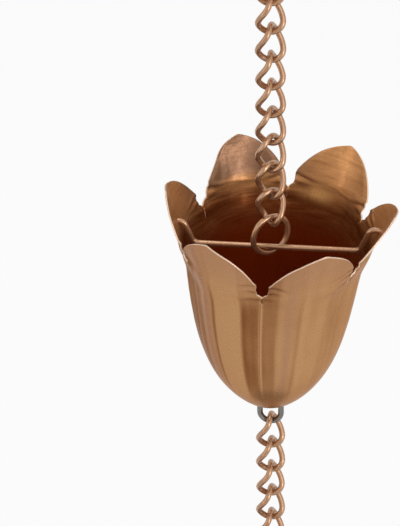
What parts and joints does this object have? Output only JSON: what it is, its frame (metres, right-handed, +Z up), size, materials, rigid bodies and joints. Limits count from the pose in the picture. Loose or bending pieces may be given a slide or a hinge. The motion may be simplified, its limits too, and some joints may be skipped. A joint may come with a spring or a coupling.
{
  "type": "rain chain",
  "caption": "tulip-shaped rain cups hung one below another on a twisted-link chain, leading roof water down",
  "frame": {"origin": "centre of the split ring at the chain's top end, by which it hangs", "axes": "+Z up along the taut chain, +X along the hanger bars in the cups, -Y towards the viewer of the picture"},
  "size_m": [0.0942, 0.084, 0.8918],
  "materials": {
    "cup_copper": "satin",
    "chain_copper": "satin",
    "bright_wire": "polished"
  },
  "bodies": {
    "top_ring": {"top_ring": "chain_copper"},
    "top_link_1": {"top_link_1": "chain_copper"},
    "top_link_2": {"top_link_2": "chain_copper"},
    "top_link_3": {"top_link_3": "chain_copper"},
    "top_link_4": {"top_link_4": "chain_copper"},
    "cup_ring_1": {"cup_ring_1": "chain_copper"},
    "cup_1": {"cup_1": "cup_copper", "hanger_bar_1": "chain_copper", "bottom_eye_1": "bright_wire"},
    "chain_1_link_01": {"chain_1_link_01": "chain_copper"},
    "chain_1_link_02": {"chain_1_link_02": "chain_copper"},
    "chain_1_link_03": {"chain_1_link_03": "chain_copper"},
    "chain_1_link_04": {"chain_1_link_04": "chain_copper"},
    "chain_1_link_05": {"chain_1_link_05": "chain_copper"},
    "chain_1_link_06": {"chain_1_link_06": "chain_copper"},
    "chain_1_link_07": {"chain_1_link_07": "chain_copper"},
    "chain_1_link_08": {"chain_1_link_08": "chain_copper"},
    "chain_1_link_09": {"chain_1_link_09": "chain_copper"},
    "chain_1_link_10": {"chain_1_link_10": "chain_copper"},
    "chain_1_link_11": {"chain_1_link_11": "chain_copper"},
    "chain_1_link_12": {"chain_1_link_12": "chain_copper"},
    "cup_ring_2": {"cup_ring_2": "chain_copper"},
    "cup_2": {"cup_2": "cup_copper", "hanger_bar_2": "chain_copper", "bottom_eye_2": "bright_wire"},
    "chain_2_link_01": {"chain_2_link_01": "chain_copper"},
    "chain_2_link_02": {"chain_2_link_02": "chain_copper"},
    "chain_2_link_03": {"chain_2_link_03": "chain_copper"},
    "chain_2_link_04": {"chain_2_link_04": "chain_copper"},
    "chain_2_link_05": {"chain_2_link_05": "chain_copper"},
    "chain_2_link_06": {"chain_2_link_06": "chain_copper"},
    "chain_2_link_07": {"chain_2_link_07": "chain_copper"},
    "chain_2_link_08": {"chain_2_link_08": "chain_copper"},
    "chain_2_link_09": {"chain_2_link_09": "chain_copper"},
    "chain_2_link_10": {"chain_2_link_10": "chain_copper"},
    "chain_2_link_11": {"chain_2_link_11": "chain_copper"},
    "chain_2_link_12": {"chain_2_link_12": "chain_copper"},
    "cup_ring_3": {"cup_ring_3": "chain_copper"},
    "cup_3": {"cup_3": "cup_copper", "hanger_bar_3": "chain_copper", "bottom_eye_3": "bright_wire"},
    "chain_3_link_01": {"chain_3_link_01": "chain_copper"},
    "chain_3_link_02": {"chain_3_link_02": "chain_copper"},
    "chain_3_link_03": {"chain_3_link_03": "chain_copper"},
    "chain_3_link_04": {"chain_3_link_04": "chain_copper"},
    "chain_3_link_05": {"chain_3_link_05": "chain_copper"},
    "chain_3_link_06": {"chain_3_link_06": "chain_copper"},
    "chain_3_link_07": {"chain_3_link_07": "chain_copper"},
    "chain_3_link_08": {"chain_3_link_08": "chain_copper"},
    "chain_3_link_09": {"chain_3_link_09": "chain_copper"},
    "chain_3_link_10": {"chain_3_link_10": "chain_copper"},
    "chain_3_link_11": {"chain_3_link_11": "chain_copper"},
    "chain_3_link_12": {"chain_3_link_12": "chain_copper"},
    "cup_ring_4": {"cup_ring_4": "chain_copper"},
    "cup_4": {"cup_4": "cup_copper", "hanger_bar_4": "chain_copper", "bottom_eye_4": "bright_wire"},
    "tail_link_1": {"tail_link_1": "chain_copper"},
    "tail_link_2": {"tail_link_2": "chain_copper"},
    "tail_link_3": {"tail_link_3": "chain_copper"}
  },
  "joints": [
    {"name": "top_link_1_swing", "type": "hinge", "parent": "top_ring", "child": "top_link_1", "pos_m": [0, 0, -0.00525], "axis": [0.2164, 0.9763, 0], "range_deg": [-50, 50]},
    {"name": "top_link_2_swing", "type": "hinge", "parent": "top_link_1", "child": "top_link_2", "pos_m": [0, 0, -0.01955], "axis": [-0.9763, 0.2164, 0], "range_deg": [-50, 50]},
    {"name": "top_link_3_swing", "type": "hinge", "parent": "top_link_2", "child": "top_link_3", "pos_m": [0, 0, -0.02885], "axis": [-0.6088, -0.7934, 0], "range_deg": [-50, 50]},
    {"name": "top_link_4_swing", "type": "hinge", "parent": "top_link_3", "child": "top_link_4", "pos_m": [0, 0, -0.04315], "axis": [0.7934, -0.6088, 0], "range_deg": [-50, 50]},
    {"name": "cup_ring_1_swing", "type": "hinge", "parent": "top_link_4", "child": "cup_ring_1", "pos_m": [0, 0, -0.05495], "axis": [0.6428, -0.766, 0], "range_deg": [-50, 50]},
    {"name": "cup_1_swing", "type": "hinge", "parent": "cup_ring_1", "child": "cup_1", "pos_m": [0, 0, -0.06545], "axis": [-1, 0, 0], "range_deg": [-50, 50]},
    {"name": "chain_1_link_01_swing", "type": "hinge", "parent": "cup_1", "child": "chain_1_link_01", "pos_m": [0, 0, -0.1441], "axis": [-0.0375, -0.9993, 0], "range_deg": [-50, 50]},
    {"name": "chain_1_link_02_swing", "type": "hinge", "parent": "chain_1_link_01", "child": "chain_1_link_02", "pos_m": [0, 0, -0.1584], "axis": [0.9993, -0.0375, 0], "range_deg": [-50, 50]},
    {"name": "chain_1_link_03_swing", "type": "hinge", "parent": "chain_1_link_02", "child": "chain_1_link_03", "pos_m": [0, 0, -0.1677], "axis": [0.0619, 0.9981, 0], "range_deg": [-50, 50]},
    {"name": "chain_1_link_04_swing", "type": "hinge", "parent": "chain_1_link_03", "child": "chain_1_link_04", "pos_m": [0, 0, -0.182], "axis": [-0.9981, 0.0619, 0], "range_deg": [-50, 50]},
    {"name": "chain_1_link_05_swing", "type": "hinge", "parent": "chain_1_link_04", "child": "chain_1_link_05", "pos_m": [0, 0, -0.1913], "axis": [0.0266, -0.9996, 0], "range_deg": [-50, 50]},
    {"name": "chain_1_link_06_swing", "type": "hinge", "parent": "chain_1_link_05", "child": "chain_1_link_06", "pos_m": [0, 0, -0.2056], "axis": [0.9996, 0.0266, 0], "range_deg": [-50, 50]},
    {"name": "chain_1_link_07_swing", "type": "hinge", "parent": "chain_1_link_06", "child": "chain_1_link_07", "pos_m": [0, 0, -0.2149], "axis": [-0.0666, 0.9978, 0], "range_deg": [-50, 50]},
    {"name": "chain_1_link_08_swing", "type": "hinge", "parent": "chain_1_link_07", "child": "chain_1_link_08", "pos_m": [0, 0, -0.2292], "axis": [-0.9978, -0.0666, 0], "range_deg": [-50, 50]},
    {"name": "chain_1_link_09_swing", "type": "hinge", "parent": "chain_1_link_08", "child": "chain_1_link_09", "pos_m": [0, 0, -0.2385], "axis": [-0.2164, -0.9763, 0], "range_deg": [-50, 50]},
    {"name": "chain_1_link_10_swing", "type": "hinge", "parent": "chain_1_link_09", "child": "chain_1_link_10", "pos_m": [0, 0, -0.2528], "axis": [0.9763, -0.2164, 0], "range_deg": [-50, 50]},
    {"name": "chain_1_link_11_swing", "type": "hinge", "parent": "chain_1_link_10", "child": "chain_1_link_11", "pos_m": [0, 0, -0.2621], "axis": [0.6088, 0.7934, 0], "range_deg": [-50, 50]},
    {"name": "chain_1_link_12_swing", "type": "hinge", "parent": "chain_1_link_11", "child": "chain_1_link_12", "pos_m": [0, 0, -0.2764], "axis": [-0.7934, 0.6088, 0], "range_deg": [-50, 50]},
    {"name": "cup_ring_2_swing", "type": "hinge", "parent": "chain_1_link_12", "child": "cup_ring_2", "pos_m": [0, 0, -0.2882], "axis": [-0.6428, 0.766, 0], "range_deg": [-50, 50]},
    {"name": "cup_2_swing", "type": "hinge", "parent": "cup_ring_2", "child": "cup_2", "pos_m": [0, 0, -0.2987], "axis": [1, 0, 0], "range_deg": [-50, 50]},
    {"name": "chain_2_link_01_swing", "type": "hinge", "parent": "cup_2", "child": "chain_2_link_01", "pos_m": [0, 0, -0.37735], "axis": [-0.0028, 1, 0], "range_deg": [-50, 50]},
    {"name": "chain_2_link_02_swing", "type": "hinge", "parent": "chain_2_link_01", "child": "chain_2_link_02", "pos_m": [0, 0, -0.39165], "axis": [-1, -0.0028, 0], "range_deg": [-50, 50]},
    {"name": "chain_2_link_03_swing", "type": "hinge", "parent": "chain_2_link_02", "child": "chain_2_link_03", "pos_m": [0, 0, -0.40095], "axis": [0.0697, -0.9976, 0], "range_deg": [-50, 50]},
    {"name": "chain_2_link_04_swing", "type": "hinge", "parent": "chain_2_link_03", "child": "chain_2_link_04", "pos_m": [0, 0, -0.41525], "axis": [0.9976, 0.0697, 0], "range_deg": [-50, 50]},
    {"name": "chain_2_link_05_swing", "type": "hinge", "parent": "chain_2_link_04", "child": "chain_2_link_05", "pos_m": [0, 0, -0.42455], "axis": [-0.0094, 1, 0], "range_deg": [-50, 50]},
    {"name": "chain_2_link_06_swing", "type": "hinge", "parent": "chain_2_link_05", "child": "chain_2_link_06", "pos_m": [0, 0, -0.43885], "axis": [-1, -0.0094, 0], "range_deg": [-50, 50]},
    {"name": "chain_2_link_07_swing", "type": "hinge", "parent": "chain_2_link_06", "child": "chain_2_link_07", "pos_m": [0, 0, -0.44815], "axis": [-0.068, -0.9977, 0], "range_deg": [-50, 50]},
    {"name": "chain_2_link_08_swing", "type": "hinge", "parent": "chain_2_link_07", "child": "chain_2_link_08", "pos_m": [0, 0, -0.46245], "axis": [0.9977, -0.068, 0], "range_deg": [-50, 50]},
    {"name": "chain_2_link_09_swing", "type": "hinge", "parent": "chain_2_link_08", "child": "chain_2_link_09", "pos_m": [0, 0, -0.47175], "axis": [0.2164, 0.9763, 0], "range_deg": [-50, 50]},
    {"name": "chain_2_link_10_swing", "type": "hinge", "parent": "chain_2_link_09", "child": "chain_2_link_10", "pos_m": [0, 0, -0.48605], "axis": [-0.9763, 0.2164, 0], "range_deg": [-50, 50]},
    {"name": "chain_2_link_11_swing", "type": "hinge", "parent": "chain_2_link_10", "child": "chain_2_link_11", "pos_m": [0, 0, -0.49535], "axis": [-0.6088, -0.7934, 0], "range_deg": [-50, 50]},
    {"name": "chain_2_link_12_swing", "type": "hinge", "parent": "chain_2_link_11", "child": "chain_2_link_12", "pos_m": [0, 0, -0.50965], "axis": [0.7934, -0.6088, 0], "range_deg": [-50, 50]},
    {"name": "cup_ring_3_swing", "type": "hinge", "parent": "chain_2_link_12", "child": "cup_ring_3", "pos_m": [0, 0, -0.52145], "axis": [0.6428, -0.766, 0], "range_deg": [-50, 50]},
    {"name": "cup_3_swing", "type": "hinge", "parent": "cup_ring_3", "child": "cup_3", "pos_m": [0, 0, -0.53195], "axis": [-1, 0, 0], "range_deg": [-50, 50]},
    {"name": "chain_3_link_01_swing", "type": "hinge", "parent": "cup_3", "child": "chain_3_link_01", "pos_m": [0, 0, -0.6106], "axis": [0.0325, -0.9995, 0], "range_deg": [-50, 50]},
    {"name": "chain_3_link_02_swing", "type": "hinge", "parent": "chain_3_link_01", "child": "chain_3_link_02", "pos_m": [0, 0, -0.6249], "axis": [0.9995, 0.0325, 0], "range_deg": [-50, 50]},
    {"name": "chain_3_link_03_swing", "type": "hinge", "parent": "chain_3_link_02", "child": "chain_3_link_03", "pos_m": [0, 0, -0.6342], "axis": [0.0586, 0.9983, 0], "range_deg": [-50, 50]},
    {"name": "chain_3_link_04_swing", "type": "hinge", "parent": "chain_3_link_03", "child": "chain_3_link_04", "pos_m": [0, 0, -0.6485], "axis": [-0.9983, 0.0586, 0], "range_deg": [-50, 50]},
    {"name": "chain_3_link_05_swing", "type": "hinge", "parent": "chain_3_link_04", "child": "chain_3_link_05", "pos_m": [0, 0, -0.6578], "axis": [-0.0428, -0.9991, 0], "range_deg": [-50, 50]},
    {"name": "chain_3_link_06_swing", "type": "hinge", "parent": "chain_3_link_05", "child": "chain_3_link_06", "pos_m": [0, 0, -0.6721], "axis": [0.9991, -0.0428, 0], "range_deg": [-50, 50]},
    {"name": "chain_3_link_07_swing", "type": "hinge", "parent": "chain_3_link_06", "child": "chain_3_link_07", "pos_m": [0, 0, -0.6814], "axis": [-0.0512, 0.9987, 0], "range_deg": [-50, 50]},
    {"name": "chain_3_link_08_swing", "type": "hinge", "parent": "chain_3_link_07", "child": "chain_3_link_08", "pos_m": [0, 0, -0.6957], "axis": [-0.9987, -0.0512, 0], "range_deg": [-50, 50]},
    {"name": "chain_3_link_09_swing", "type": "hinge", "parent": "chain_3_link_08", "child": "chain_3_link_09", "pos_m": [0, 0, -0.705], "axis": [-0.2164, -0.9763, 0], "range_deg": [-50, 50]},
    {"name": "chain_3_link_10_swing", "type": "hinge", "parent": "chain_3_link_09", "child": "chain_3_link_10", "pos_m": [0, 0, -0.7193], "axis": [0.9763, -0.2164, 0], "range_deg": [-50, 50]},
    {"name": "chain_3_link_11_swing", "type": "hinge", "parent": "chain_3_link_10", "child": "chain_3_link_11", "pos_m": [0, 0, -0.7286], "axis": [0.6088, 0.7934, 0], "range_deg": [-50, 50]},
    {"name": "chain_3_link_12_swing", "type": "hinge", "parent": "chain_3_link_11", "child": "chain_3_link_12", "pos_m": [0, 0, -0.7429], "axis": [-0.7934, 0.6088, 0], "range_deg": [-50, 50]},
    {"name": "cup_ring_4_swing", "type": "hinge", "parent": "chain_3_link_12", "child": "cup_ring_4", "pos_m": [0, 0, -0.7547], "axis": [-0.6428, 0.766, 0], "range_deg": [-50, 50]},
    {"name": "cup_4_swing", "type": "hinge", "parent": "cup_ring_4", "child": "cup_4", "pos_m": [0, 0, -0.7652], "axis": [1, 0, 0], "range_deg": [-50, 50]},
    {"name": "tail_link_1_swing", "type": "hinge", "parent": "cup_4", "child": "tail_link_1", "pos_m": [0, 0, -0.84385], "axis": [0.0591, 0.9983, 0], "range_deg": [-50, 50]},
    {"name": "tail_link_2_swing", "type": "hinge", "parent": "tail_link_1", "child": "tail_link_2", "pos_m": [0, 0, -0.85815], "axis": [-0.9983, 0.0591, 0], "range_deg": [-50, 50]},
    {"name": "tail_link_3_swing", "type": "hinge", "parent": "tail_link_2", "child": "tail_link_3", "pos_m": [0, 0, -0.86745], "axis": [0.0318, -0.9995, 0], "range_deg": [-50, 50]}
  ]
}
